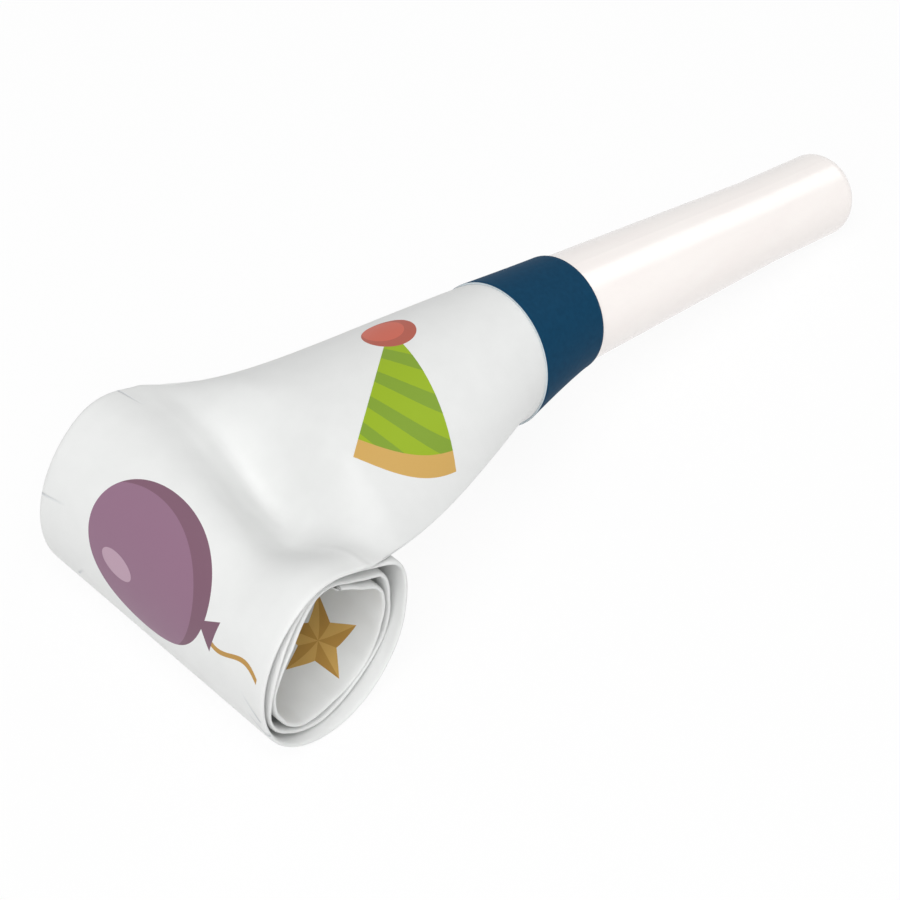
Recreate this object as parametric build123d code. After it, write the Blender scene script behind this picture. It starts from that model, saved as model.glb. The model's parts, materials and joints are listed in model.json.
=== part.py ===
"""Party horn blower: a reed mouthpiece and a flat paper tube that a spring wire rolls up."""

import os
from math import asin, atan2, cos, degrees, hypot, pi, radians, sin, tan

from build123d import *

# Mouthpiece, moulded plastic. Its axis is X, with the paper's edge at x = 0 and the lips at +X.
mouth_length = 51.2
mouth_radius = 6.5
lip_radius = 5.25
lip_length = 14.0
nose_radius = 2.0
bore_radius = 3.9
bore_length = 21.0
chamber_radius = 4.9
spigot_length = 12.0
spigot_radius = 5.9
glue_land = 3.0

# Reed, pushed into the chamber from the paper's end.
plug_length = 7.0
trough_length = 26.0
trough_radius = 3.2
trough_wall = 0.8
air_hole_radius = 2.2
collar_length = 4.0
collar_radius = 4.2
tongue_width = 5.2
tongue_thickness = 0.25
tongue_gap = 0.12
tongue_root_gap = 0.1

# Paper: the neck, its band and the flat tube.
paper_thickness = 0.15
band_thickness = 0.2
band_length = 10.7
band_end_radius = 8.2
band_end_drop = 1.6
neck_length = 46.5
neck_spread = 0.6
neck_sag = 2.0
neck_sag_power = 1.4
neck_top_fall = 5.8
neck_top_power = 1.3
neck_belly_power = 1.2
neck_pinch_share = 0.8
fold_margin = 1.2
neck_sections = 15
lead_length = 2.5

tube_width = 34.8
tube_thickness = 0.6
tube_drop = 2.7

# Roll: panels of equal turn on a spiral of tangent arcs, from the outside inwards.
roll_radius = 11.0
roll_pitch = 0.85
panel_turn = 30.0
panel_count = 36
panel_gap = 0.1
tip_flap_length = 2.1
tip_flap_thickness = 0.2

# Spring wire inside the flat tube.
wire_diameter = 0.2
wire_tail = 3.0

roll_axis = Axis((0, 0, 0), (0, -1, 0))
overrun = 1.0


def disc(radius, x, length):
    """A rod along X from x to x + length."""
    return extrude(Plane.YZ.offset(x) * Circle(radius), length)


def box_between(x0, x1, y0, y1, z0, z1):
    """A block between two values on each axis."""
    centre = Pos((x0 + x1) / 2, (y0 + y1) / 2, (z0 + z1) / 2)
    return centre * Box(x1 - x0, y1 - y0, z1 - z0)


def mouthpiece():
    """Tapered tube with a straight lip, a rounded nose and a stepped spigot for the paper."""
    lip_start = mouth_length - lip_length
    outline = Polyline(
        (-spigot_length, 0),
        (-spigot_length, spigot_radius),
        (-glue_land, spigot_radius),
        (-glue_land, mouth_radius),
        (0, mouth_radius),
        (lip_start, lip_radius),
        (mouth_length - nose_radius, lip_radius),
    )
    nose_centre_z = lip_radius - nose_radius
    middle = nose_radius * sin(radians(45))
    nose = ThreePointArc(
        (mouth_length - nose_radius, lip_radius),
        (mouth_length - nose_radius + middle, nose_centre_z + middle),
        (mouth_length, nose_centre_z),
    )
    face = Polyline((mouth_length, nose_centre_z), (mouth_length, 0), (-spigot_length, 0))
    profile = make_face(outline + nose + face)
    body = revolve(Plane.XZ * profile, Axis.X)
    chamber_end = mouth_length - bore_length
    body -= disc(chamber_radius, -spigot_length - overrun, chamber_end + spigot_length + overrun)
    return body - disc(bore_radius, chamber_end - overrun, bore_length + 2 * overrun)


reed_start = -spigot_length
trough_start = reed_start + plug_length
trough_end = trough_start + trough_length
collar_end = trough_start + collar_length


def half_rod(radius, x, length):
    """The lower half of a rod along X."""
    reach = radius + overrun
    return disc(radius, x, length) & box_between(x, x + length, -reach, reach, -reach, 0)


def reed_body():
    """Plug with an air hole, and a half-round trough that is closed at its far end."""
    body = disc(chamber_radius, reed_start, plug_length)
    body += half_rod(trough_radius, trough_start, trough_length)
    hole = plug_length + trough_length - trough_wall
    inner = min(air_hole_radius, trough_radius - trough_wall)
    body -= half_rod(inner, reed_start - overrun, hole + overrun)
    reach = trough_radius + overrun
    relief = box_between(collar_end, trough_end + overrun, -reach, reach, -tongue_gap, overrun)
    return body - relief


def tongue_strip(x0, x1):
    """A length of the reed's blade, lying on the trough's rim."""
    half = tongue_width / 2
    return box_between(x0, x1, -half, half, 0, tongue_thickness)


def reed_collar():
    """Ring that clamps the blade's root on the trough."""
    ring = disc(collar_radius, trough_start, collar_length)
    ring -= half_rod(trough_radius, trough_start - overrun, collar_length + 2 * overrun)
    return ring - tongue_strip(trough_start - overrun, collar_end + overrun)


def tube_section(grow):
    """The flat tube's outline across the strip, grown by a wall."""
    return SlotOverall(tube_width + 2 * grow, tube_thickness + 2 * grow)


def lens(x, half_width, edge, rise, depth):
    """A section across the neck: an arc over the top and one below, which meet at both edges."""
    near, far = (-half_width, edge), (half_width, edge)
    over = ThreePointArc(near, (0, edge + rise), far)
    below = ThreePointArc(far, (0, edge - depth), near)
    return Plane.YZ.offset(x) * make_face(over + below)


def neck_section(share, grow, edge_in):
    """The neck at a share of its length: round at the band, bulging above, pinched flat at the roll."""
    flat = tube_thickness / 2
    pinch = max(0.0, (share - neck_pinch_share) / (1 - neck_pinch_share))
    pinch = pinch * pinch * (3 - 2 * pinch)
    half_width = band_end_radius + (tube_width / 2 - band_end_radius) * share
    half_width += neck_spread * sin(pi * share)
    sag = neck_sag * sin(pi * share**neck_sag_power)
    edge = -(band_end_drop + (tube_drop - band_end_drop) * share + sag)
    top = band_end_radius - band_end_drop - neck_top_fall * share**neck_top_power
    rise = (top - edge) * (1 - pinch) + flat * pinch
    depth = flat + (band_end_radius - flat) * (1 - share) ** neck_belly_power
    x = -band_length - (neck_length - band_length) * share
    return lens(x, half_width + grow - edge_in * share, edge, rise + grow, depth + grow)


def neck_body(grow, end_over=0.0, edge_in=0.0):
    """The paper's outside from the mouthpiece to the roll, grown by a wall and narrowed at the folds."""
    land_radius = mouth_radius + paper_thickness + grow
    land = disc(land_radius, -glue_land, glue_land + end_over)
    shares = [i / (neck_sections - 1) for i in range(neck_sections)]
    start = lens(-glue_land, land_radius, 0, land_radius, land_radius)
    bell = loft([start] + [neck_section(share, grow, edge_in) for share in shares], ruled=True)
    lead_end = Plane.YZ.offset(-neck_length - lead_length - end_over + panel_gap / 2)
    lead = extrude(
        lead_end * Pos(0, -tube_drop) * tube_section(grow),
        lead_length + end_over - panel_gap / 2,
    )
    return land + bell + lead


def paper_neck():
    """Hollow paper neck, open at the mouthpiece and at the roll."""
    return neck_body(0) - neck_body(-paper_thickness, overrun, fold_margin)


def band():
    """Paper strip round the neck, over the mouthpiece's end."""
    reach = tube_width
    keep = box_between(-band_length, 0, -reach, reach, -reach, reach)
    return (neck_body(band_thickness) & keep) - neck_body(0)


def spiral():
    """Radius, start angle, centre and start point of each panel's arc, seen along Y."""
    panels = []
    start = Vector(-neck_length - lead_length, 0, -tube_drop)
    for i in range(panel_count):
        angle = i * panel_turn
        radius = roll_radius - roll_pitch * angle / 360
        outward = Vector(-sin(radians(angle)), 0, cos(radians(angle)))
        centre = start - outward * radius
        panels.append((radius, angle, centre, start))
        end_angle = radians(angle + panel_turn)
        start = centre + Vector(-sin(end_angle), 0, cos(end_angle)) * radius
    return panels


def turned(shape, radius, angle, arc, centre):
    """A section on the roll's arc: turned about its centre from an angle through an arc."""
    ring = revolve(Plane.YZ * Pos(0, radius) * shape, roll_axis, arc)
    return Pos(centre) * Rot(0, -angle, 0) * ring


def roll_panel(radius, angle, centre, _):
    """One panel of the flat tube: two paper walls, joined along both edges."""
    gap = degrees(panel_gap / radius)
    wall = tube_section(0) - tube_section(-paper_thickness)
    return turned(wall, radius, angle + gap / 2, panel_turn - gap, centre)


def tip_fold(radius, angle, centre, _):
    """The tube's folded end: a cap over the opening and a flap glued inside the roll."""
    gap = degrees(panel_gap / radius)
    end = angle + panel_turn - gap / 2
    cap_turn = degrees(tip_flap_thickness / radius)
    inner = radius - tube_thickness / 2 - tip_flap_thickness
    width = tube_width - tube_thickness
    flap_turn = degrees(tip_flap_length / radius)
    flap = Pos(0, inner - radius + tip_flap_thickness / 2) * Rectangle(width, tip_flap_thickness)
    cap_height = tube_thickness + tip_flap_thickness
    cap = Pos(0, -tip_flap_thickness / 2) * Rectangle(width, cap_height)
    folded = turned(flap, radius, end - flap_turn, flap_turn, centre)
    return folded + turned(cap, radius, end, cap_turn, centre)


def spring_wire(panels):
    """One unbroken wire along the middle of the flat tube."""
    first = panels[0][3]
    edges = [Line(first + Vector(wire_tail, 0, 0), first)]
    for radius, angle, centre, start in panels:
        points = [start]
        for part in (0.5, 1.0):
            turn = radians(angle + panel_turn * part)
            points.append(centre + Vector(-sin(turn), 0, cos(turn)) * radius)
        edges.append(ThreePointArc(*points))
    path = Wire([edge.edge() for edge in edges])
    return sweep(Plane(path @ 0, z_dir=path % 0) * Circle(wire_diameter / 2), path)


def unroll_hinges(panels):
    """Where the middle tangents of neighbouring panels meet, on the outside of each bend."""
    radius, _, _, start = panels[0]
    points = [start + Vector(-radius * tan(radians(panel_turn / 4)), 0, 0)]
    lift = 1 / cos(radians(panel_turn / 2)) - 1
    for radius, angle, _, start in panels[1:]:
        outward = Vector(-sin(radians(angle)), 0, cos(radians(angle)))
        points.append(start + outward * radius * lift)
    return points


def rest_tilt(panels):
    """Nose-down turn at which the roll and the lip stand on one plane."""
    nose_x = mouth_length - nose_radius
    nose_z = nose_radius - lip_radius
    for radius, angle, centre, _ in panels:
        roll_outside = radius + tube_thickness / 2
        dx, dz = nose_x - centre.X, nose_z - centre.Z
        tilt = degrees(atan2(dz, dx) + asin((roll_outside - nose_radius) / hypot(dx, dz)))
        if angle <= 180 + tilt <= angle + panel_turn:
            return tilt
    raise ValueError("the roll has no panel underneath")


panels = spiral()
nodes = {
    "mouthpiece": mouthpiece(),
    "reed_body": reed_body(),
    "reed_collar": reed_collar(),
    "reed_tongue_root": tongue_strip(trough_start, collar_end),
    "reed_tongue": tongue_strip(collar_end + tongue_root_gap, trough_end),
    "paper_neck": paper_neck(),
    "band": band(),
    "spring_wire": spring_wire(panels),
    "tip_fold": tip_fold(*panels[-1]),
}
for number, panel in enumerate(panels, start=1):
    nodes[f"roll_panel_{number:02d}"] = roll_panel(*panel)

# The blower lies on the roll and the lip, with the origin under the middle of its box.
lean = Rot(0, rest_tilt(panels), 0)
box = Compound([lean * shape for shape in nodes.values()]).bounding_box()
place = Pos(-box.center().X, -box.center().Y, -box.min.Z) * lean

os.makedirs("parts", exist_ok=True)
for name, shape in nodes.items():
    export_step(place * shape, f"parts/{name}.step")
print(len(nodes), "nodes, tilt", round(rest_tilt(panels), 2), "box", box.size)
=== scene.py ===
# %% [markdown]
# # Party horn blower
# A moulded mouthpiece with a reed blows into a flat paper tube, which a spring wire keeps rolled
# up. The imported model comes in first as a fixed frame: its pieces are not moved, and everything
# made here is made around them, in metres, at the same size.

# %% Load the frame
import json
import math

import bmesh
import bpy
import numpy as np
from mathutils import Euler, Matrix, Vector

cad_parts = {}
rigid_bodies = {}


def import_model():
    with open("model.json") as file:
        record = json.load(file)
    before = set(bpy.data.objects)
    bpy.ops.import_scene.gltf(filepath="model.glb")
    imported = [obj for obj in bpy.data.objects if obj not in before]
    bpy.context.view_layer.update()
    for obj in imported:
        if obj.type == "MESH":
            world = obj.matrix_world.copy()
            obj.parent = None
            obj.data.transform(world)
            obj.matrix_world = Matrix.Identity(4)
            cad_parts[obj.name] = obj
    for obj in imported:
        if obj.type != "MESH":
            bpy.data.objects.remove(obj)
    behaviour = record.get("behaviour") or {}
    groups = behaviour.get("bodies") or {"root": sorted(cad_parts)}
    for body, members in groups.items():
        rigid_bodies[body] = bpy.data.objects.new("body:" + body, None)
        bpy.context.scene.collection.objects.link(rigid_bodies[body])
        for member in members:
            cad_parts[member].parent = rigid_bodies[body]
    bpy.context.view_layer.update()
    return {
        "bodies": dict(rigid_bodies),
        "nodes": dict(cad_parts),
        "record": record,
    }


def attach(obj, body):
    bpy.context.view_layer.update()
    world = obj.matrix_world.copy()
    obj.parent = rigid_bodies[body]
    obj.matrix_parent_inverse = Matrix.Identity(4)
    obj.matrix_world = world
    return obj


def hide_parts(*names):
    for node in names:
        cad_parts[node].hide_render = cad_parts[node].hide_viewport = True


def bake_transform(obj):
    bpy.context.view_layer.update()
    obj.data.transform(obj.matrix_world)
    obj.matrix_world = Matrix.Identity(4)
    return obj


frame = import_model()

# %% [markdown]
# ## The maker's frame
# The blower lies nose down, so its own axis is not level. It is easier to model along the
# mouthpiece: here X runs along its axis, with x = 0 where the paper starts, the lips at +X and
# millimetres as the unit. The record's bore mount says where that axis lies, so one matrix takes
# every point from the maker's frame to the frame that is shared with the CAD.

# %% The maker's frame
mm = 0.001
mouth_length = 51.2
bore = next(m for m in frame["record"]["mounts"] if m["name"] == "mouth_bore")
bore_axis = Vector(bore["axis"])
bore_middle = mouth_length - bore["dims"]["length_mm"] / 2
tilt = math.atan2(-bore_axis.z, bore_axis.x)
origin = Vector(bore["pos_m"]) - bore_axis * bore_middle * mm
maker = Matrix.Translation(origin) @ Matrix.Rotation(tilt, 4, "Y")


def placed(points):
    """Points in the maker's millimetres as points in the frame's metres."""
    turn = np.array(maker.to_3x3())
    return np.asarray(points, float) @ turn.T * mm + np.array(maker.translation)


print("nose down by", round(math.degrees(tilt), 2), "degrees, paper starts at", tuple(origin))

# %% [markdown]
# ## Soft steps
# Paper has no sudden changes, so each rule about its shape fades in and out. Three small functions
# give such fades: a smooth step, the same between two places, and a smooth rise round an angle.

# %% Soft steps


def ease(t):
    """A smooth step from 0 to 1."""
    t = np.clip(t, 0, 1)
    return t * t * (3 - 2 * t)


def ramp(value, start, end):
    """A smooth step from 0 at the start to 1 at the end, which may lie on either side."""
    return ease((value - start) / (end - start))


def hump(angle, middle, width):
    """A smooth rise to 1 round an angle, in degrees, and 0 further off than the width."""
    away = np.abs((angle - middle + 180) % 360 - 180)
    return ease(1 - away / width)


print("a quarter of the way is a smooth step of", float(ease(0.25)))

# %% [markdown]
# ## One helper for nodes
# Geometry trees and materials are both built from nodes, so one function adds a node with its
# settings and fills its inputs, with a link where the value is a socket. The filling is apart,
# because a new material's own shader needs it too. Colours are written as sRGB hex, as a paint
# program shows them, and Blender wants them linear.

# %% Node and colour helpers
number_math = "ShaderNodeMath"
vector_math = "ShaderNodeVectorMath"


def fill(tree, node, inputs):
    """A node's inputs, linked where the value is a socket and else set."""
    for name, value in inputs.items():
        if isinstance(value, bpy.types.NodeSocket):
            tree.links.new(value, node.inputs[name])
        else:
            node.inputs[name].default_value = value


def add(tree, kind, inputs=None, **settings):
    """The outputs of a new node, which gets its settings and its inputs."""
    node = tree.nodes.new(kind)
    for name, value in settings.items():
        setattr(node, name, value)
    fill(tree, node, inputs or {})
    return node.outputs


def linear(hex_colour):
    """A #RRGGBB colour as linear RGBA."""
    channels = [int(hex_colour[i : i + 2], 16) / 255 for i in (1, 3, 5)]
    return [c / 12.92 if c <= 0.04045 else ((c + 0.055) / 1.055) ** 2.4 for c in channels] + [1]


def new_material(name):
    """A new material, with its tree and its shader."""
    material = bpy.data.materials.new(name)
    material.use_nodes = True
    return material, material.node_tree, material.node_tree.nodes["Principled BSDF"]


print("paint grey #808080 is linear", round(linear("#808080")[0], 3))

# %% [markdown]
# ## Rolled strip as a geometry tree
# The roll follows a rule: a flat section carried along a spiral that comes in by the same step on
# every turn. A geometry tree says that directly. A line is resampled, each of its points is given
# a turn, and its place is worked out from that turn; before turn 0 the strip runs straight. Curve
# to Mesh then sweeps a section along it. The section is a circle stretched to the strip's width,
# with its sides squared by a power, so that the same tree also makes the round spring wire. Each
# point keeps its turn and its place round the section, because later steps need both.

# %% The strip's path and section
keep_number = "GeometryNodeStoreNamedAttribute"
strip_inputs = {
    "From turn": 0.0,
    "To turn": 30.0,
    "Steps": 12,
    "Roll radius": 11.0,
    "Pitch per degree": 0.85 / 360,
    "Half width": 17.4,
    "Half thickness": 0.26,
    "Squareness": 90.0,
    "Section points": 80,
}


def spiral_path(tree, size):
    """A line whose points are moved onto the spiral, each by its turn."""
    line = add(tree, "GeometryNodeCurvePrimitiveLine")[0]
    count = add(tree, number_math, {0: size["Steps"], 1: 1.0}, operation="ADD")[0]
    path = add(tree, "GeometryNodeResampleCurve", {"Curve": line, "Count": count})[0]
    share = add(tree, "GeometryNodeSplineParameter")["Factor"]
    turn = add(
        tree,
        "ShaderNodeMapRange",
        {"Value": share, "To Min": size["From turn"], "To Max": size["To turn"]},
    )[0]
    path = add(
        tree,
        keep_number,
        {"Geometry": path, "Name": "turn", "Value": turn},
        data_type="FLOAT",
        domain="POINT",
    )[0]
    rolled = add(tree, number_math, {0: turn, 1: 0.0}, operation="MAXIMUM")[0]
    straight = add(tree, number_math, {0: turn, 1: 0.0}, operation="MINIMUM")[0]
    inset = add(
        tree, number_math, {0: rolled, 1: size["Pitch per degree"]}, operation="MULTIPLY"
    )[0]
    radius = add(tree, number_math, {0: size["Roll radius"], 1: inset}, operation="SUBTRACT")[0]
    angle = add(tree, number_math, {0: rolled}, operation="RADIANS")[0]
    sine = add(tree, number_math, {0: angle}, operation="SINE")[0]
    cosine = add(tree, number_math, {0: angle}, operation="COSINE")[0]
    lead = add(tree, number_math, {0: straight}, operation="RADIANS")[0]
    lead = add(tree, number_math, {0: lead, 1: size["Roll radius"]}, operation="MULTIPLY")[0]
    reach = add(tree, number_math, {0: sine, 1: radius, 2: lead}, operation="MULTIPLY_ADD")[0]
    x = add(tree, number_math, {0: reach, 1: -1.0}, operation="MULTIPLY")[0]
    z = add(tree, number_math, {0: cosine, 1: radius}, operation="MULTIPLY")[0]
    place = add(tree, "ShaderNodeCombineXYZ", {"X": x, "Z": z})[0]
    path = add(tree, "GeometryNodeSetPosition", {"Geometry": path, "Position": place})[0]
    return add(
        tree, "GeometryNodeSetCurveNormal", {"Curve": path, "Normal": (0.0, -1.0, 0.0)}, mode="FREE"
    )[0]


def strip_section(tree, size):
    """A circle stretched to the strip's width and thickness, with its sides squared."""
    ring = add(
        tree,
        "GeometryNodeCurvePrimitiveCircle",
        {"Resolution": size["Section points"], "Radius": 1.0},
        mode="RADIUS",
    )[0]
    around = add(tree, "GeometryNodeSplineParameter")["Factor"]
    ring = add(
        tree,
        keep_number,
        {"Geometry": ring, "Name": "around", "Value": around},
        data_type="FLOAT",
        domain="POINT",
    )[0]
    here = add(tree, "GeometryNodeInputPosition")[0]
    here = add(tree, "ShaderNodeSeparateXYZ", {0: here})
    level = add(tree, number_math, {0: here["X"]}, operation="ABSOLUTE")[0]
    level = add(tree, number_math, {0: level, 1: size["Squareness"]}, operation="POWER")[0]
    level = add(tree, number_math, {0: 1.0, 1: level}, operation="SUBTRACT", use_clamp=True)[0]
    level = add(tree, number_math, {0: level}, operation="SQRT")[0]
    side = add(tree, number_math, {0: here["Y"]}, operation="SIGN")[0]
    level = add(tree, number_math, {0: level, 1: side}, operation="MULTIPLY")[0]
    wide = add(tree, number_math, {0: here["X"], 1: size["Half width"]}, operation="MULTIPLY")[0]
    thick = add(tree, number_math, {0: level, 1: size["Half thickness"]}, operation="MULTIPLY")[0]
    place = add(tree, "ShaderNodeCombineXYZ", {"X": wide, "Y": thick})[0]
    return add(tree, "GeometryNodeSetPosition", {"Geometry": ring, "Position": place})[0]


print("strip is", 2 * strip_inputs["Half width"], "mm wide")

# %% The strip tree


def strip_tree():
    """A section swept along the roll's spiral, in millimetres round the roll's centre."""
    tree = bpy.data.node_groups.new("rolled_strip", "GeometryNodeTree")
    for name, value in strip_inputs.items():
        kind = "NodeSocketInt" if isinstance(value, int) else "NodeSocketFloat"
        tree.interface.new_socket(name, in_out="INPUT", socket_type=kind)
    tree.interface.new_socket("Material", in_out="INPUT", socket_type="NodeSocketMaterial")
    tree.interface.new_socket("Geometry", in_out="OUTPUT", socket_type="NodeSocketGeometry")
    size = add(tree, "NodeGroupInput")
    swept = {
        "Curve": spiral_path(tree, size),
        "Profile Curve": strip_section(tree, size),
        "Fill Caps": True,
    }
    swept = add(tree, "GeometryNodeCurveToMesh", swept)[0]
    plain = add(tree, "GeometryNodeRealizeInstances", {0: swept})[0]
    dressed = add(
        tree, "GeometryNodeSetMaterial", {"Geometry": plain, "Material": size["Material"]}
    )[0]
    add(tree, "NodeGroupOutput", {"Geometry": dressed})
    return tree


rolled_strip = strip_tree()
print("strip tree has", len(rolled_strip.nodes), "nodes")

# %% [markdown]
# ## From tree to mesh
# An empty holder gets the tree as a modifier, with its inputs set by their identifiers, and what
# it makes is copied into a plain mesh. Curve to Mesh closes each end by one large face. Such a
# face can't follow paper that is dented later, so it is split into a row of small ones.

# %% Swept meshes


def read(items, field, kind=float, width=1):
    """One field of every item of a mesh, one after the other."""
    values = np.empty(len(items) * width, kind)
    items.foreach_get(field, values)
    return values


def read_attribute(mesh, name):
    """A named value of every point."""
    return read(mesh.attributes[name].data, "value")


def read_points(mesh):
    """Every point's place."""
    return read(mesh.vertices, "co", width=3).reshape(-1, 3)


def split_caps(mesh, section_points):
    """Each end's single face as a row of small faces across the section."""
    spot = np.rint(read_attribute(mesh, "around") * section_points).astype(int)
    model = bmesh.new()
    model.from_mesh(mesh)
    for cap in [face for face in model.faces if len(face.verts) > 4]:
        loop = list(cap.verts)
        first = next(i for i, corner in enumerate(loop) if spot[corner.index] == 0)
        loop = loop[first:] + loop[:first]
        model.faces.remove(cap)
        for i in range(len(loop) // 2):
            corners = [loop[i], loop[i + 1], loop[-i - 1], loop[-i]]
            model.faces.new(list(dict.fromkeys(corners)))
    model.to_mesh(mesh)
    model.free()


def show(name, data):
    """A mesh, a lamp or a camera as an object of the scene."""
    piece = bpy.data.objects.new(name, data)
    bpy.context.scene.collection.objects.link(piece)
    return piece


def swept_mesh(name, material, **sizes):
    """The strip tree's result as a plain mesh, still round the roll's centre in millimetres."""
    holder = show(name, bpy.data.meshes.new(name + "_holder"))
    modifier = holder.modifiers.new("strip", "NODES")
    modifier.node_group = rolled_strip
    given = {key.replace("_", " ").capitalize(): value for key, value in sizes.items()}
    values = {**strip_inputs, **given}
    for item in rolled_strip.interface.items_tree:
        if item.in_out == "INPUT" and item.name in values:
            modifier[item.identifier] = values[item.name]
        elif item.name == "Material":
            modifier[item.identifier] = material
    graph = bpy.context.evaluated_depsgraph_get()
    mesh = bpy.data.meshes.new_from_object(holder.evaluated_get(graph))
    mesh.name = name
    bpy.data.objects.remove(holder)
    split_caps(mesh, values["Section points"])
    return mesh


print("a piece of the strip has", strip_inputs["Steps"] * strip_inputs["Section points"], "sides")

# %% [markdown]
# ## Printed inks
# The paper's print is a loose party pattern in flat inks: balloons, striped hats and stars. Each
# motif is drawn by a few distance tests in the sheet's own millimetres, which the UV map holds: U
# runs along the strip and V across it. A test gives a mask, 1 inside and 0 outside. A motif is a
# list of layers, and a layer's ink lies where all of its masks hold.

# %% Inks and masks
inks = {
    "green": "#93AE1E",
    "dark green": "#7C9A2C",
    "coral": "#C66553",
    "dark coral": "#AD5A4B",
    "mauve": "#8C6A80",
    "dark mauve": "#785768",
    "pale mauve": "#B497A8",
    "ochre": "#CBA35A",
    "dark ochre": "#B58B45",
}


def oval(tree, place, middle, size):
    """A mask of an oval with that middle and those half sizes."""
    moved = add(tree, vector_math, {0: place, 1: (*middle, 0)}, operation="SUBTRACT")[0]
    scaled = add(
        tree, vector_math, {0: moved, 1: (1 / size[0], 1 / size[1], 0)}, operation="MULTIPLY"
    )[0]
    far = add(tree, vector_math, {0: scaled}, operation="LENGTH")["Value"]
    return add(tree, number_math, {0: far, 1: 1.0}, operation="LESS_THAN")[0]


def split(tree, place):
    """The two coordinates of a place, and the size of the first."""
    parts = add(tree, "ShaderNodeSeparateXYZ", {0: place})
    side = add(tree, number_math, {0: parts["X"]}, operation="ABSOLUTE")[0]
    return parts["X"], parts["Y"], side


print(len(inks), "inks")

# %% Balloon
balloon_half = (7.5, 9)
knot_end = -10.8
string_start, string_end = -10.6, -20.0
string_half = 0.28
string_swing = 0.9
string_rate = 0.7


def balloon(tree, place):
    """A balloon 15 by 18 mm with a shaded side, a shine, a knot and a waving string."""
    across, up, side = split(tree, place)
    body = oval(tree, place, (0, 0), balloon_half)
    lit = oval(tree, place, (-1.8, 1.6), (7.6, 9))
    shine = oval(tree, place, (-3.1, 3.6), (1.2, 2.3))
    flare = add(tree, number_math, {0: up, 1: -0.75, 2: -6.2}, operation="MULTIPLY_ADD")[0]
    in_flare = add(tree, number_math, {0: side, 1: flare}, operation="LESS_THAN")[0]
    above = add(tree, number_math, {0: up, 1: knot_end}, operation="GREATER_THAN")[0]
    swing = add(tree, number_math, {0: up, 1: string_rate}, operation="MULTIPLY")[0]
    swing = add(tree, number_math, {0: swing}, operation="SINE")[0]
    off = add(
        tree, number_math, {0: swing, 1: -string_swing, 2: across}, operation="MULTIPLY_ADD"
    )[0]
    off = add(tree, number_math, {0: off}, operation="ABSOLUTE")[0]
    thin = add(tree, number_math, {0: off, 1: string_half}, operation="LESS_THAN")[0]
    below = add(tree, number_math, {0: up, 1: string_start}, operation="LESS_THAN")[0]
    end = add(tree, number_math, {0: up, 1: string_end}, operation="GREATER_THAN")[0]
    return [
        ([thin, below, end], "dark ochre"),
        ([in_flare, above], "dark mauve"),
        ([body], "dark mauve"),
        ([body, lit], "mauve"),
        ([shine], "pale mauve"),
    ]


print("balloon", [2 * half for half in balloon_half], "mm")

# %% Party hat
hat_foot = -9.0
hat_slope, hat_half_middle = -0.37, 3.7
hat_bow = 0.04
brim_top = -6.6
stripe_slant = 0.55
stripe_period, stripe_width = 4.4, 1.9


def party_hat(tree, place):
    """A cone hat 14 by 18 mm with slanted stripes, a brim and a pompom."""
    across, up, side = split(tree, place)
    edge = add(
        tree, number_math, {0: up, 1: hat_slope, 2: hat_half_middle}, operation="MULTIPLY_ADD"
    )[0]
    in_cone = add(tree, number_math, {0: side, 1: edge}, operation="LESS_THAN")[0]
    bow = add(tree, number_math, {0: across, 1: across}, operation="MULTIPLY")[0]
    level = add(tree, number_math, {0: bow, 1: -hat_bow, 2: up}, operation="MULTIPLY_ADD")[0]
    over = add(tree, number_math, {0: level, 1: hat_foot}, operation="GREATER_THAN")[0]
    brim = add(tree, number_math, {0: level, 1: brim_top}, operation="LESS_THAN")[0]
    slant = add(
        tree, number_math, {0: across, 1: stripe_slant, 2: level}, operation="MULTIPLY_ADD"
    )[0]
    slant = add(tree, number_math, {0: slant, 1: stripe_period}, operation="FLOORED_MODULO")[0]
    stripe = add(tree, number_math, {0: slant, 1: stripe_width}, operation="LESS_THAN")[0]
    return [
        ([in_cone, over], "green"),
        ([in_cone, over, stripe], "dark green"),
        ([in_cone, over, brim], "ochre"),
        ([oval(tree, place, (0, 10), (2.9, 2.9))], "dark coral"),
        ([oval(tree, place, (-0.5, 10.5), (2.2, 2.2))], "coral"),
    ]


print("hat stripes", stripe_width, "mm wide, every", stripe_period, "mm")

# %% Star
star_tip, star_notch = 6.4, 2.9


def star(tree, place):
    """A five-pointed star with one side of every point darker."""
    point = math.radians(36)
    across, up, _ = split(tree, place)
    turn = add(tree, number_math, {0: across, 1: up}, operation="ARCTAN2")[0]
    folded = add(tree, number_math, {0: turn, 1: point, 2: -point}, operation="WRAP")[0]
    half = add(tree, number_math, {0: folded}, operation="ABSOLUTE")[0]
    far = add(tree, vector_math, {0: place}, operation="LENGTH")["Value"]
    along = add(tree, number_math, {0: half}, operation="COSINE")[0]
    along = add(tree, number_math, {0: along, 1: far}, operation="MULTIPLY")[0]
    aside = add(tree, number_math, {0: half}, operation="SINE")[0]
    aside = add(tree, number_math, {0: aside, 1: far}, operation="MULTIPLY")[0]
    slope = (star_tip - star_notch * math.cos(point)) / (star_notch * math.sin(point))
    edge = add(tree, number_math, {0: aside, 1: slope, 2: along}, operation="MULTIPLY_ADD")[0]
    inside = add(tree, number_math, {0: edge, 1: star_tip}, operation="LESS_THAN")[0]
    dark = add(tree, number_math, {0: folded, 1: 0.0}, operation="GREATER_THAN")[0]
    return [([inside], "ochre"), ([inside, dark], "dark ochre")]


print("star reaches", star_tip, "mm from its middle")

# %% [markdown]
# ## Print layout and creases
# Wrapping the sheet's coordinates repeats a motif along the strip without drawing it again, and
# the motif is turned and sized in its own coordinates. A few short creases from handling are drawn
# in the sheet's coordinates too, each as a line that fades from its start to its end.

# %% Print layout
sheet_width = 34.8
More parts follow.
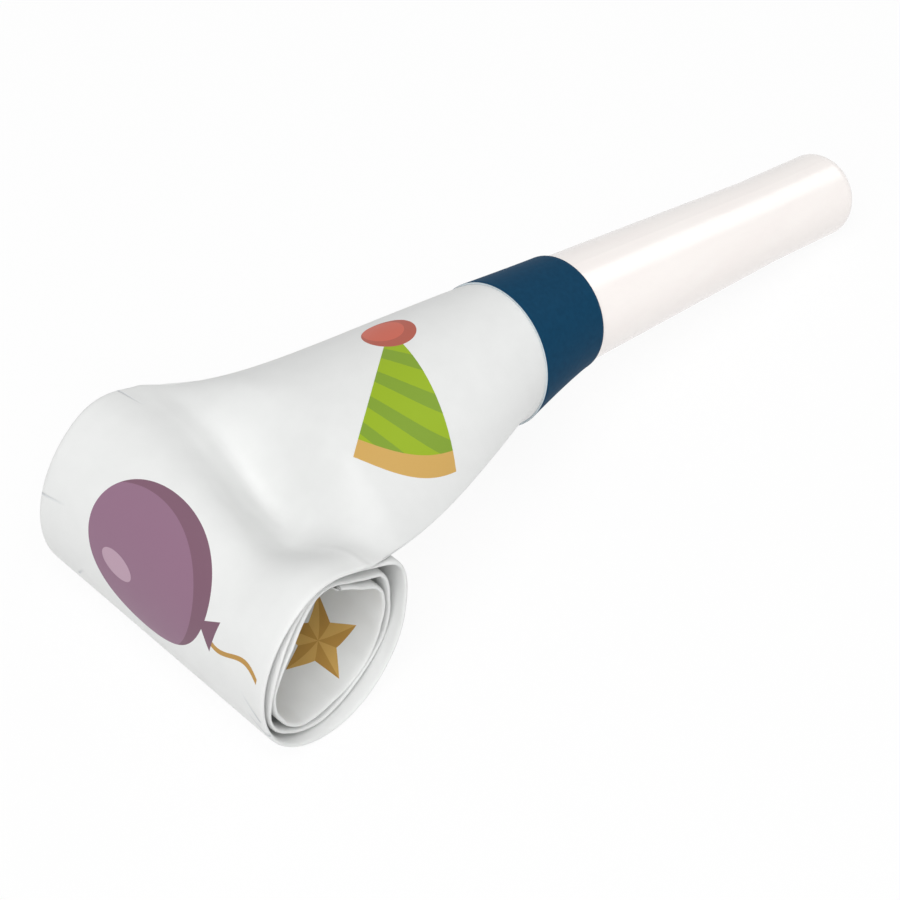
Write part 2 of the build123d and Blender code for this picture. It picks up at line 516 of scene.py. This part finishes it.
# Each motif: its first place along and across the sheet, its repeat along it, its turn and size.
print_layout = [
    (party_hat, (30.0, 13.0), 80.0, 34.0, 1.0),
    (balloon, (63.0, 18.5), 90.0, 8.0, 1.0),
    (star, (12.0, 28.9), 100.0, 20.0, 0.8),
]


def print_layers(tree, sheet):
    """Every layer of ink, from the bottom up, as its masks and its name."""
    layers = []
    for motif, (u, v), period, turn, scale in print_layout:
        moved = add(tree, vector_math, {0: sheet, 1: (u, v, 0)}, operation="SUBTRACT")[0]
        room = (period / 2, sheet_width / 2, 1)
        tile = add(
            tree, vector_math, {0: moved, 1: room, 2: tuple(-r for r in room)}, operation="WRAP"
        )[0]
        local = {
            "Vector": tile,
            "Rotation": (0, 0, math.radians(turn)),
            "Scale": (-scale, scale, 1),
        }
        local = add(tree, "ShaderNodeMapping", local, vector_type="TEXTURE")[0]
        layers += motif(tree, local)
    return layers


print("motifs repeat every", [row[2] for row in print_layout], "mm")

# %% Creases
# Each crease: where it starts and ends along and across the sheet, and its width.
creases = [
    ((64.8, 35.0), (64.0, 31.0), 0.22),
    ((71.8, 29.2), (70.0, 27.8), 0.25),
    ((70.0, 0.6), (67.6, 3.2), 0.3),
    ((72.6, 0.0), (69.8, 2.8), 0.35),
    ((49.8, 35.0), (49.0, 31.6), 0.25),
]


def crease(tree, sheet, start, end, width):
    """A mask of a line from one place to another, which is strongest at its start."""
    run = (end[0] - start[0], end[1] - start[1], 0)
    length = math.hypot(*run)
    off = add(tree, vector_math, {0: sheet, 1: (*start, 0)}, operation="SUBTRACT")[0]
    far = add(
        tree, vector_math, {0: off, 1: tuple(r / length**2 for r in run)}, operation="DOT_PRODUCT"
    )["Value"]
    far = add(tree, "ShaderNodeClamp", {"Value": far})[0]
    foot = add(tree, vector_math, {0: run, "Scale": far}, operation="SCALE")[0]
    away = add(tree, vector_math, {0: off, 1: foot}, operation="DISTANCE")["Value"]
    line = add(
        tree,
        "ShaderNodeMapRange",
        {"Value": away, "From Max": width, "To Min": 1.0, "To Max": 0.0},
        interpolation_type="SMOOTHSTEP",
    )[0]
    left = add(tree, number_math, {0: 1.0, 1: far}, operation="SUBTRACT")[0]
    return add(tree, number_math, {0: line, 1: left}, operation="MULTIPLY")[0]


print(len(creases), "creases")

# %% [markdown]
# ## Coated paper
# The tube is thin coated paper: off-white, satin, and very slightly uneven, because fibres show
# through the coat. The print lies on it as flat inks. A crease is a dip in the surface, and a
# little painted shade darkens it as well.

# %% Coated paper
uv_per_mm = 0.01
# Painted shade: how strongly the creases are darkened.
crease_painted_shade = 0.45
crease_depth = 0.2 * mm


def coated_paper():
    """Satin coated paper of about 100 g: a soft broad shine, faint clouds, flat printed inks."""
    material, tree, shader = new_material("coated_printed_paper")
    where = add(tree, "ShaderNodeTexCoord")["Object"]
    cloud_size = 2.5 * mm
    clouds = add(
        tree, "ShaderNodeTexNoise", {"Vector": where, "Scale": 1 / cloud_size, "Detail": 3.0}
    )["Fac"]
    colour = add(
        tree,
        "ShaderNodeMix",
        {"Factor": clouds, "A": linear("#DFE0DF"), "B": linear("#E6E7E6")},
        data_type="RGBA",
    )["Result"]
    sheet = add(tree, "ShaderNodeUVMap", uv_map="sheet")[0]
    sheet = add(tree, vector_math, {0: sheet, "Scale": 1 / uv_per_mm}, operation="SCALE")[0]
    for (mask, *others), ink in print_layers(tree, sheet):
        for other in others:
            mask = add(tree, number_math, {0: mask, 1: other}, operation="MULTIPLY")[0]
        colour = add(
            tree,
            "ShaderNodeMix",
            {"Factor": mask, "A": colour, "B": linear(inks[ink])},
            data_type="RGBA",
        )["Result"]
    folds = 0.0
    for start, end, width in creases:
        mark = crease(tree, sheet, start, end, width)
        folds = add(tree, number_math, {0: mark, 1: folds}, operation="MAXIMUM")[0]
    # Painted shade: the creases are darkened a little towards a blue grey.
    dim = add(tree, number_math, {0: folds, 1: crease_painted_shade}, operation="MULTIPLY")[0]
    colour = add(
        tree,
        "ShaderNodeMix",
        {"Factor": dim, "A": colour, "B": linear("#8E97A3")},
        data_type="RGBA",
    )["Result"]
    rough = add(tree, "ShaderNodeMapRange", {"Value": clouds, "To Min": 0.42, "To Max": 0.52})[0]
    # Real fibres are 0.03 mm wide. They are drawn ten times coarser, so that they show.
    fibre_size = 0.3 * mm
    fibres = add(
        tree, "ShaderNodeTexNoise", {"Vector": where, "Scale": 1 / fibre_size, "Detail": 4.0}
    )["Fac"]
    dips = add(
        tree,
        "ShaderNodeBump",
        {"Height": folds, "Strength": 0.5, "Distance": crease_depth},
        invert=True,
    )[0]
    bump = add(
        tree,
        "ShaderNodeBump",
        {"Height": fibres, "Strength": 0.06, "Distance": 0.02 * mm, "Normal": dips},
    )[0]
    fill(tree, shader, {"Base Color": colour, "Roughness": rough, "Normal": bump})
    fill(tree, shader, {"IOR": 1.48, "Specular IOR Level": 0.3})
    return material


paper = coated_paper()
print("paper material has", len(paper.node_tree.nodes), "nodes")

# %% [markdown]
# ## Neck as rings
# Paper shows every seam, so the neck and the roll are worked out together, as one long sheet of
# rings with the same count of points in each. The neck's rings come from a few curves along its
# length: round in the band, full in the middle, pinched to a flat strip where the roll starts.
# Between neck and roll the paper gives way, so a soft valley is pressed in there. It leans towards
# the roll on the near side, and fades before it reaches the two rims.

# %% Neck rings
land_radius = 6.65
band_length = 10.7
band_end_radius = 8.2
band_end_drop = 1.6
neck_length = 46.5
neck_start, neck_end = 0.2, 47.0
neck_spread = 0.6
neck_sag, sag_power = 2.0, 1.4
top_fall, fall_power = 5.8, 1.3
flare_power = 1.2
pinch_from, flat_from = 0.8, 0.9
tube_drop = 2.7
half_width = strip_inputs["Half width"]
half_thickness = strip_inputs["Half thickness"]
ring_size = strip_inputs["Section points"]
ring_angle = 2 * np.pi * np.arange(ring_size) / ring_size


def arc_height(across, half, height):
    """How high a round arc over a chord stands at a place across it."""
    radius = (half**2 + height**2) / (2 * height)
    return np.sqrt(np.clip(radius**2 - (across * half) ** 2, 0, None)) - (radius - height)


def neck_ring(x):
    """One section of the neck, from the near edge over the top to the far edge and back below."""
    share = np.clip((-x - band_length) / (neck_length - band_length), 0, 1)
    under = np.clip(-x / band_length, 0, 1) ** flare_power
    pinch = ramp(share, pinch_from, 1)
    flat = ramp(share, flat_from, 1)
    radius = land_radius + (band_end_radius - land_radius) * under
    wide = radius + (half_width - band_end_radius) * share + neck_spread * np.sin(np.pi * share)
    sag = neck_sag * np.sin(np.pi * share**sag_power)
    edge = -(band_end_drop * under + (tube_drop - band_end_drop) * share + sag)
    full_top = radius - band_end_drop * under - top_fall * share**fall_power
    rise = (full_top - edge) * (1 - pinch) + half_thickness * pinch
    depth = half_thickness + (radius - half_thickness) * (1 - share) ** flare_power
    across = np.cos(ring_angle)
    top = np.sin(ring_angle) >= 0
    bulge = np.where(top, arc_height(across, wide, rise), arc_height(across, wide, depth))
    squared = np.clip(1 - np.abs(across) ** strip_inputs["Squareness"], 0, 1)
    height = (1 - flat) * bulge + flat * half_thickness * np.sqrt(squared)
    z = edge + np.where(top, height, -height)
    return np.stack([np.full(ring_size, x), -wide * across, z], axis=1)


print("neck opens from", 2 * land_radius, "to", 2 * half_width, "mm wide")

# %% Valley
roll_radius = strip_inputs["Roll radius"]
roll_start = 49.0
roll_centre = -tube_drop - roll_radius
valley_depth = 4.0
valley_place = 4.6
valley_neck_side, valley_roll_side = 4.4, 6.4
valley_lean = 5.0
lean_fade = (4, -14)
far_rim_fade = (11, -3)
near_rim_fade = (-16, -7)
valley_base_fade = 8


def pressed(points):
    """Points with the valley between neck and roll pressed in, short of both rims."""
    x, y, z = np.moveaxis(np.array(points, float), -1, 0)
    past = x + roll_start - valley_place + valley_lean * ramp(y, *lean_fade)
    reach = np.exp(-((past / np.where(past > 0, valley_neck_side, valley_roll_side)) ** 2))
    inside = ramp(y, *far_rim_fade) * ramp(y, *near_rim_fade)
    upper = ramp(z, roll_centre, roll_centre + valley_base_fade)
    return np.stack([x, y, z - valley_depth * reach * inside * upper], axis=-1)


neck_steps = 90
neck_x = -np.linspace(neck_start, neck_end, neck_steps + 1)[:-1]
neck_rings = pressed([neck_ring(x) for x in neck_x])
print("neck has", len(neck_rings), "rings of", ring_size)

# %% [markdown]
# ## Roll as rings
# The roll's rings come from the strip tree, one run for each body, cut in the middle of each
# panel. A real roll is never perfect, so the rings are then settled: the roll stands a little
# taller than wide, its inner turns are slack and kinked, its rim bulges where it was pinched, and
# the outer turn has slipped towards the near end.

# %% Settled paper
panel_turn = 30.0
panel_names = sorted(name for name in frame["bodies"] if name.startswith("roll_panel"))
tip_turn = panel_turn * len(panel_names)
roll_middle = np.array([-roll_start, 0.0, roll_centre])
roll_squeeze, roll_rise = 0.92, 1.08
squeeze_before, squeeze_from, squeeze_full = -60, -20, 40
near_rim = (-6, -17)
outer_slip, inner_slip = -0.5, 0.9
outer_slip_turns, inner_slip_turns = (0, 120), (250, 370)
flush_middle, flush_width = 95, 110
slack_from = 0.85
slack_spots = [(315, 70, 0.42), (170, 50, 0.3)]
kink_spacing, kink_fade = 34.0, 90
kink_size, rim_kink_size = 0.2, 0.35
rim_bulges = [(60, 75, 0.5, 300), (318, 45, 0.8, 400)]
rim_wave, rim_wave_rate = 0.15, 3.1


def settled(points, turn):
    """The roll's points as the paper lies: tall, slack inside, its outer turn slipped."""
    x, y, z = np.array(points).T
    foot = roll_radius + half_thickness
    angle = np.radians(np.maximum(turn, 0))
    layer = np.maximum(turn, 0) / 360
    place = turn % 360
    past_valley = (turn - squeeze_before) % 360 + squeeze_before
    before = ramp(past_valley, squeeze_from, squeeze_before)
    after = ramp(past_valley, squeeze_from, squeeze_full)
    fade = np.where(past_valley > squeeze_from, after, before)
    x = x * (1 + (roll_squeeze - 1) * fade)
    z = (z + foot) * (1 + (roll_rise - 1) * fade) - foot
    near = ramp(y, *near_rim)
    loose = np.maximum(layer - slack_from, 0)
    inward = loose * sum(size * hump(place, middle, width) for middle, width, size in slack_spots)
    kink = 0.5 - np.abs((turn / kink_spacing) % 2 - 1)
    kink = kink * ease(loose) * ramp(turn, tip_turn, tip_turn - kink_fade)
    inward += kink * (kink_size + rim_kink_size * near)
    for middle, width, size, last in rim_bulges:
        inward -= size * near * hump(turn, middle, width) * (turn < last)
    x = x + np.sin(angle) * inward
    z = z - np.cos(angle) * inward
    recess = inner_slip - (inner_slip - outer_slip) * hump(place, flush_middle, flush_width)
    y = y + outer_slip * ramp(turn, *outer_slip_turns)
    y = y + (recess - outer_slip) * ramp(turn, *inner_slip_turns)
    y = y + rim_wave * near * np.sin(np.radians(turn * rim_wave_rate)) * ease(layer)
    return pressed(np.stack([x, y, z], axis=1) + roll_middle)


print("roll turns", tip_turn / 360, "times")

# %% Roll rings
lead_turn = -math.degrees((roll_start - neck_end) / roll_radius)
breaks = [lead_turn] + [panel_turn * (i + 0.5) for i in range(len(panel_names))] + [tip_turn]
strip_steps = strip_inputs["Steps"]
roll_meshes = []
roll_rings = []
for number, (first, last) in enumerate(zip(breaks[:-1], breaks[1:]), start=1):
    mesh = swept_mesh(f"paper_roll_{number:02d}", paper, from_turn=first, to_turn=last)
    turns = read_attribute(mesh, "turn")
    ring = np.rint((turns - first) / (last - first) * strip_steps).astype(int)
    spot = np.rint(read_attribute(mesh, "around") * ring_size).astype(int)
    rings = np.empty((strip_steps + 1, ring_size, 3))
    rings[ring, spot] = settled(read_points(mesh), turns)
    roll_meshes.append((mesh, ring, spot))
    roll_rings.append(rings)
for before, after in zip(roll_rings[:-1], roll_rings[1:]):
    border = (before[-1] + after[0]) / 2
    before[-1] = border
    after[0] = border
print("roll has", len(roll_meshes), "pieces from turn", round(lead_turn, 1), "to", tip_turn)

# %% [markdown]
# ## Shared normals and sheet coordinates
# Each piece of the roll is a mesh of its own. If every mesh worked out
# its normals alone, each border would show as a line. The normals are taken from the whole sheet
# instead, by the directions along and round it, and handed to the pieces. The UV map is the sheet
# laid flat, so that the print runs on from one piece to the next.

# %% Shared normals
top_spot = ring_size // 4


def ring_normals(rings):
    """The outward direction at every point of a row of rings."""
    along = np.gradient(rings, axis=0)
    around = np.roll(rings, -1, axis=1) - np.roll(rings, 1, axis=1)
    out = np.cross(along, around)
    out /= np.linalg.norm(out, axis=2, keepdims=True)
    return -out if out[0, top_spot, 2] < 0 else out


def set_points(mesh, points):
    """The maker's points as the mesh's points in the shared frame, with smooth faces."""
    mesh.vertices.foreach_set("co", placed(points).astype(np.float32).ravel())
    mesh.update()
    mesh.shade_smooth()


def set_normals(mesh, directions):
    """The sheet's own normals in the shared frame."""
    turned = directions @ np.array(maker.to_3x3()).T
    mesh.normals_split_custom_set_from_vertices(turned.tolist())


sheet = np.concatenate([neck_rings] + [r[:-1] for r in roll_rings] + [roll_rings[-1][-1:]])
normals = ring_normals(sheet)
print("sheet of", sheet.shape[0], "rings")

# %% Sheet coordinates
pitch = strip_inputs["Pitch per degree"]


def sheet_along(turn):
    """How far along the strip a turn of the roll is."""
    rolled = np.maximum(turn, 0)
    arc = np.radians(roll_radius * rolled - pitch * rolled**2 / 2)
    return roll_start + arc + np.radians(np.minimum(turn, 0)) * roll_radius


def sheet_across(rings):
    """How far round the sheet each point is, with its top middle line straight all along."""
    closed = np.concatenate([rings, rings[:, :1]], axis=1)
    step = np.linalg.norm(np.diff(closed, axis=1), axis=2)
    far = np.concatenate([np.zeros((len(rings), 1)), np.cumsum(step, axis=1)], axis=1)
    return far - far[:, top_spot : top_spot + 1] + sheet_width / 2


def set_uv(mesh, flat):
    """A UV map from each face corner's place on the flat sheet."""
    layer = mesh.uv_layers.new(name="sheet")
    layer.data.foreach_set("uv", (flat * uv_per_mm).ravel())


def set_ring_uv(mesh, ring, spot, u, v):
    """A UV map from ring and spot numbers, closed round the section without a stretched face."""
    corner = read(mesh.loops, "vertex_index", int)
    face_size = read(mesh.polygons, "loop_total", int)
    face = np.repeat(np.arange(len(face_size)), face_size)
    corner_spot = spot[corner].copy()
    last = np.zeros(len(face_size), bool)
    np.logical_or.at(last, face, corner_spot == ring_size - 1)
    last &= face_size == 4
    corner_spot[last[face] & (corner_spot == 0)] = ring_size
    set_uv(mesh, np.stack([u[ring[corner]], v[ring[corner], corner_spot]], axis=1))


print("flat sheet is", round(float(sheet_along(tip_turn)), 1), "mm long")

# %% [markdown]
# ## Neck and roll pieces
# The neck is hollow, so it gets an inner face a paper's thickness inside the outer one, and a rim
# at each end. For each piece of the roll, the span where a bend would start and stop is worked
# out: after the whole of its first ring and before its last one.

# %% Neck piece
wall = 0.12


def paper_neck():
    """The neck's outer and inner faces, closed at both ends."""
    count = neck_steps + 1
    shift = count * ring_size
    outer, out = sheet[:count], normals[:count]
    points = np.concatenate([outer, outer - out * wall]).reshape(-1, 3)
    corners = np.arange(shift).reshape(count, ring_size)
    beside = np.roll(corners, -1, axis=1)
    skin = np.stack([corners[:-1], beside[:-1], beside[1:], corners[1:]], axis=2).reshape(-1, 4)
    faces = [skin, skin[:, ::-1] + shift]
    for row, flip in ((0, True), (count - 1, False)):
        here, next_to = corners[row], beside[row]
        rim = np.stack([here, next_to, next_to + shift, here + shift], axis=1)
        faces.append(rim[:, ::-1] if flip else rim)
    mesh = bpy.data.meshes.new("paper_neck_sheet")
    mesh.from_pydata(points.tolist(), [], np.concatenate(faces).tolist())
    ring, spot = np.divmod(np.tile(np.arange(shift), 2), ring_size)
    set_ring_uv(mesh, ring, spot, np.append(-neck_x, neck_end), sheet_across(outer))
    set_points(mesh, points)
    set_normals(mesh, np.concatenate([out, -out]).reshape(-1, 3))
    mesh.materials.append(paper)
    return show("paper_neck_sheet", mesh)


neck = paper_neck()
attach(neck, "mouthpiece")
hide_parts("paper_neck")
print("neck", len(neck.data.polygons), "faces")


def bend_span(first_ring, last_ring):
    """Where a bend of the piece would start and stop: after all of its first ring, before its last.
    """
    start, end = first_ring.mean(0), last_ring.mean(0)
    course = (end - start) * [1, 0, 1]
    course /= np.linalg.norm(course)
    begin = ((first_ring - start) @ course).max()
    stop = ((last_ring - start) @ course).min()
    assert stop > begin, "a piece's two ends overlap along its course"
    return placed([start + course * begin, start + course * stop])


row = neck_steps
shortest = math.inf
for number, (mesh, ring, spot) in enumerate(roll_meshes, start=1):
    rings = roll_rings[number - 1]
    turns = np.linspace(breaks[number - 1], breaks[number], strip_steps + 1)
    set_ring_uv(mesh, ring, spot, sheet_along(turns), sheet_across(rings))
    set_points(mesh, rings[ring, spot])
    set_normals(mesh, normals[row + ring, spot])
    piece = show(mesh.name, mesh)
    if number <= len(panel_names):
        start, end = bend_span(rings[0], rings[-1])
        shortest = min(shortest, np.linalg.norm(end - start) / mm)
        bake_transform(piece)
        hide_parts(panel_names[number - 1])
    else:
        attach(piece, panel_names[-1])
    row += strip_steps
print("roll ends in", piece.name, "and its shortest bend takes", round(shortest, 2), "mm")

# %% [markdown]
# ## Folded tip and spring wire
# The strip's inner end is folded over and glued, which shows as a short flap inside the roll. The
# spring wire runs along the middle of the tube, between its two faces. Both are swept by the same
# tree with other sizes, and the wire is cut at the same turns as the paper.

# %% Folded tip
flap_length = 2.1
flap_overhang = 1.5
flap_drop = half_thickness + wall
flap_inset = 0.4
flap_half_thickness = 0.1
end_radius = roll_radius - pitch * tip_turn
flap_turn = math.degrees(flap_length / end_radius)
tip_mesh = swept_mesh(
    "paper_tip_fold",
    paper,
    from_turn=tip_turn - flap_turn,
    to_turn=tip_turn + flap_overhang,
    roll_radius=roll_radius - flap_drop,
    half_width=half_width - flap_inset,
    half_thickness=flap_half_thickness,
)
tip_points = read_points(tip_mesh)
tip_turns = read_attribute(tip_mesh, "turn")
set_points(tip_mesh, settled(tip_points, tip_turns))
# The flap shows the tube's other face, whose middle line is one sheet's width further round.
tip_sheet = np.stack([sheet_along(tip_turns), 1.5 * sheet_width - tip_points[:, 1]], axis=1)
set_uv(tip_mesh, tip_sheet[read(tip_mesh.loops, "vertex_index", int)])
tip = show("paper_tip_fold", tip_mesh)
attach(tip, panel_names[-1])
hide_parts("tip_fold")
print("tip flap turns", round(flap_turn, 1), "degrees")

# %% Spring steel


def spring_steel():
    """Hard drawn steel wire: grey and bright, with a fine grain from the drawing die."""
    material, tree, shader = new_material("drawn_spring_steel")
    where = add(tree, "ShaderNodeTexCoord")["Object"]
    grain_size = 0.05 * mm
    grain = add(
        tree, "ShaderNodeTexNoise", {"Vector": where, "Scale": 1 / grain_size, "Detail": 2.0}
    )["Fac"]
    tone = add(
        tree,
        "ShaderNodeMix",
        {"Factor": grain, "A": linear("#8D9093"), "B": linear("#B4B7BA")},
        data_type="RGBA",
    )["Result"]
    fill(tree, shader, {"Base Color": tone, "Metallic": 1.0, "Roughness": 0.3})
    return material


steel = spring_steel()
print("wire is", steel.name)

# %% Spring wire
wire_radius = 0.1
wire_tail = 3.0
end_turn = 0.01
wire_breaks = [-math.degrees(wire_tail / roll_radius)] + breaks[1:]
for number, (first, last) in enumerate(zip(wire_breaks[:-1], wire_breaks[1:]), start=1):
    mesh = swept_mesh(
        f"spring_wire_{number:02d}",
        steel,
        from_turn=first,
        to_turn=last,
        half_width=wire_radius,
        half_thickness=wire_radius,
        squareness=2.0,
        section_points=8,
    )
    turns = read_attribute(mesh, "turn")
    points = settled(read_points(mesh), turns)
    set_points(mesh, points)
    piece = show(mesh.name, mesh)
    if number <= len(panel_names):
        start, end = bend_span(points[turns < first + end_turn], points[turns > last - end_turn])
        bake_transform(piece)
    else:
        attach(piece, panel_names[-1])
    if number == 1:
        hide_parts("spring_wire")
print("wire in", len(wire_breaks) - 1, "lengths")

# %% [markdown]
# ## Band
# A strip of dark blue paper is wrapped over the joint of paper and mouthpiece and glued on itself.
# It follows the neck's own rings, a paper's thickness outside them, and it is dyed on its face
# only, so that its cut edges stay pale.

# %% Dyed paper


def dyed_paper():
    """Matt dyed paper: deep blue with a faint fibre mottle, and a pale core at the cut edges."""
    material, tree, shader = new_material("dyed_band_paper")
    where = add(tree, "ShaderNodeTexCoord")["Object"]
    mottle_size = 0.6 * mm
    mottle = add(
        tree, "ShaderNodeTexNoise", {"Vector": where, "Scale": 1 / mottle_size, "Detail": 4.0}
    )["Fac"]
    blue = add(
        tree,
        "ShaderNodeMix",
        {"Factor": mottle, "A": linear("#0B3651"), "B": linear("#114260")},
        data_type="RGBA",
    )["Result"]
    cut = add(tree, "ShaderNodeAttribute", attribute_name="cut")["Fac"]
    colour = add(
        tree, "ShaderNodeMix", {"Factor": cut, "A": blue, "B": linear("#C9D3D8")}, data_type="RGBA"
    )["Result"]
    bump = add(
        tree, "ShaderNodeBump", {"Height": mottle, "Strength": 0.1, "Distance": 0.03 * mm}
    )[0]
    fill(tree, shader, {"Base Color": colour, "Normal": bump, "Roughness": 0.6})
    fill(tree, shader, {"IOR": 1.45, "Specular IOR Level": 0.06})
    return material


band_paper = dyed_paper()
print("band is", band_paper.name)

# %% Band
band_thickness = 0.22
band_steps = 24
band_edge = 0.05


def wrapped_band():
    """The band's outer face, its two cut edges and its inner face, as one closed sleeve."""
    stations = -np.linspace(0, band_length, band_steps + 1)
    inner = np.array([neck_ring(x) for x in stations])
    out = ring_normals(inner)
    outer = inner + out * band_thickness
    edge = np.array([band_edge, 0, 0])
    lips = [outer[0] - out[0] * band_edge + edge, outer[-1] - out[-1] * band_edge - edge]
    lower = [inner[0] + edge, inner[-1] - edge]
    rows = [lower[0], lips[0], *outer, lips[1], lower[1], *inner[::-1]]
    points = np.concatenate(rows)
    cut = np.zeros(len(rows))
    cut[[0, 1, band_steps + 3, band_steps + 4]] = 1
    corners = np.arange(len(points)).reshape(len(rows), ring_size)
    ahead = np.roll(corners, -1, axis=0)
    beside, across = np.roll(corners, -1, axis=1), np.roll(ahead, -1, axis=1)
    faces = np.stack([corners, beside, across, ahead], axis=2).reshape(-1, 4)
    mesh = bpy.data.meshes.new("band_sleeve")
    mesh.from_pydata(points.tolist(), [], faces.tolist())
    set_points(mesh, points)
    marks = mesh.attributes.new("cut", "FLOAT", "POINT").data
    marks.foreach_set("value", np.repeat(cut, ring_size))
    mesh.materials.append(band_paper)
    return show("band_sleeve", mesh)


band = wrapped_band()
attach(band, "mouthpiece")
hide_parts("band")
print("band", len(band.data.polygons), "faces")

# %% [markdown]
# ## Mouthpiece and reed
# The mouthpiece is injection moulded in white plastic with a polished surface. Its CAD shape is
# right, so the node stays and gets its finish. The reed inside is a plain plastic trough with a
# tongue of thin film. One function makes all three plastics, with the colours, the gloss, the
# refractive index and the depth of each.

# %% Plastics


def moulded_plastic(name, colour, shade, roughness, ior, milkiness):
    """Moulded plastic: even colour with faint flow marks, a clear gloss and a little depth."""
    material, tree, shader = new_material(name)
    where = add(tree, "ShaderNodeTexCoord")["Object"]
    along, across = 18 * mm, 3 * mm
    flow = add(
        tree, "ShaderNodeMapping", {"Vector": where, "Scale": (1 / along, 1 / across, 1 / across)}
    )[0]
    marks = add(tree, "ShaderNodeTexNoise", {"Vector": flow, "Scale": 1.0, "Detail": 3.0})["Fac"]
    tone = add(
        tree,
        "ShaderNodeMix",
        {"Factor": marks, "A": linear(shade), "B": linear(colour)},
        data_type="RGBA",
    )["Result"]
    gloss = add(
        tree,
        "ShaderNodeMapRange",
        {"Value": marks, "To Min": roughness * 0.8, "To Max": roughness * 1.2},
    )[0]
    bump = add(tree, "ShaderNodeBump", {"Height": marks, "Strength": 0.15, "Distance": 0.1 * mm})[0]
    fill(tree, shader, {"Base Color": tone, "Roughness": gloss, "Normal": bump, "IOR": ior})
    fill(tree, shader, {"Subsurface Weight": milkiness, "Subsurface Scale": 1.2 * mm})
    fill(tree, shader, {"Subsurface Radius": (1.0, 0.8, 0.7)})
    return material


finishes = {
    "mouthpiece": moulded_plastic("white_polypropylene", "#FDF9F5", "#F8F0ED", 0.2, 1.5, 0.0),
    "reed_body": moulded_plastic("natural_polystyrene", "#E4E2DA", "#DAD7CE", 0.4, 1.59, 0.3),
    "reed_tongue": moulded_plastic("polyester_film", "#DCE2E4", "#D2D9DC", 0.15, 1.6, 0.0),
}
finishes["reed_collar"] = finishes["reed_body"]
finishes["reed_tongue_root"] = finishes["reed_tongue"]
for name, finish in finishes.items():
    slots = frame["nodes"][name].data.materials
    slots.clear()
    slots.append(finish)
print("finished", ", ".join(finishes))

# %% [markdown]
# ## Studio
# A pale floor, an even surround, two large soft lamps, and a small one ahead of the mouthpiece,
# which shows in its gloss as a streak. Floor and surround are lifted to white only for the rays
# that show them: from the camera, off a gloss, or through something clear. So the background is
# clean, while the object keeps plain light and its shadow.

# %% Floor and surround
floor_half = 1.5
floor_lift = 0.92
surround_light = 0.39


def shows_background(tree):
    """1 for a ray from the camera, off a gloss or through something clear, and else 0."""
    ray = add(tree, "ShaderNodeLightPath")
    seen = add(
        tree, number_math, {0: ray["Is Camera Ray"], 1: ray["Is Glossy Ray"]}, operation="MAXIMUM"
    )[0]
    return add(tree, number_math, {0: seen, 1: ray["Is Transmission Ray"]}, operation="MAXIMUM")[0]


floor_mesh = bpy.data.meshes.new("floor")
floor_corners = [(-1, -1), (1, -1), (1, 1), (-1, 1)]
floor_corners = [(x * floor_half, y * floor_half, 0) for x, y in floor_corners]
floor_mesh.from_pydata(floor_corners, [], [(0, 1, 2, 3)])
floor = show("floor", floor_mesh)
card_material, tree, card = new_material("matt_white_card")
fill(tree, card, {"Base Color": linear("#F4F4F4"), "Roughness": 0.9})
lift = add(tree, number_math, {0: shows_background(tree), 1: floor_lift}, operation="MULTIPLY")[0]
white = add(tree, "ShaderNodeEmission", {"Color": (1, 1, 1, 1), "Strength": 1.0})[0]
mixed = add(tree, "ShaderNodeMixShader", {0: lift, 1: card.outputs[0], 2: white})[0]
fill(tree, tree.nodes["Material Output"], {"Surface": mixed})
floor_mesh.materials.append(card_material)

world = bpy.data.worlds.new("studio")
bpy.context.scene.world = world
world.use_nodes = True
tree = world.node_tree
strength = add(
    tree,
    "ShaderNodeMapRange",
    {"Value": shows_background(tree), "To Min": surround_light, "To Max": 1.0},
)[0]
fill(tree, tree.nodes["Background"], {"Color": (1, 1, 1, 1), "Strength": strength})
print("floor", 2 * floor_half, "m wide, surround at", surround_light)

# %% Lamps


def soft_lamp(name, place, target, size, watts):
    """A square area lamp that looks at a point."""
    lamp = show(name, bpy.data.lights.new(name, "AREA"))
    lamp.data.size = size
    lamp.data.energy = watts
    lamp.location = place
    lamp.rotation_euler = (Vector(target) - Vector(place)).to_track_quat("-Z", "Y").to_euler()


soft_lamp("key", (-0.36, -0.22, 0.57), (0, 0, 0), 0.5, 3.6)
soft_lamp("fill", (0.2, -0.6, 0.5), (0, 0, 0), 0.6, 0.4)
soft_lamp("streak", (0.63, -0.045, 0.37), (0.03, 0, 0), 0.32, 0.7)
print("lamps", [lamp.name for lamp in bpy.data.lights])

# %% [markdown]
# ## Camera
# The camera stands where the photographer stood. Its place and turn were fitted along the
# mouthpiece's own axis, so they are written in the maker's frame and taken over by its matrix.

# %% Camera
camera_place = (-201.92, -136.26, 159.2)
camera_turn = (52.595, -10.578, -46.063)
focal_length = 103.04
camera = show("camera", bpy.data.cameras.new("camera"))
camera.data.lens = focal_length
camera.data.sensor_width = 36
camera.data.clip_start = 0.01
aim = maker.to_3x3() @ Euler([math.radians(a) for a in camera_turn]).to_matrix()
camera.matrix_world = Matrix.Translation(Vector(placed([camera_place])[0])) @ aim.to_4x4()
bpy.context.scene.camera = camera
bpy.context.scene.view_settings.view_transform = "Standard"
print("camera at", tuple(round(c, 4) for c in camera.location))
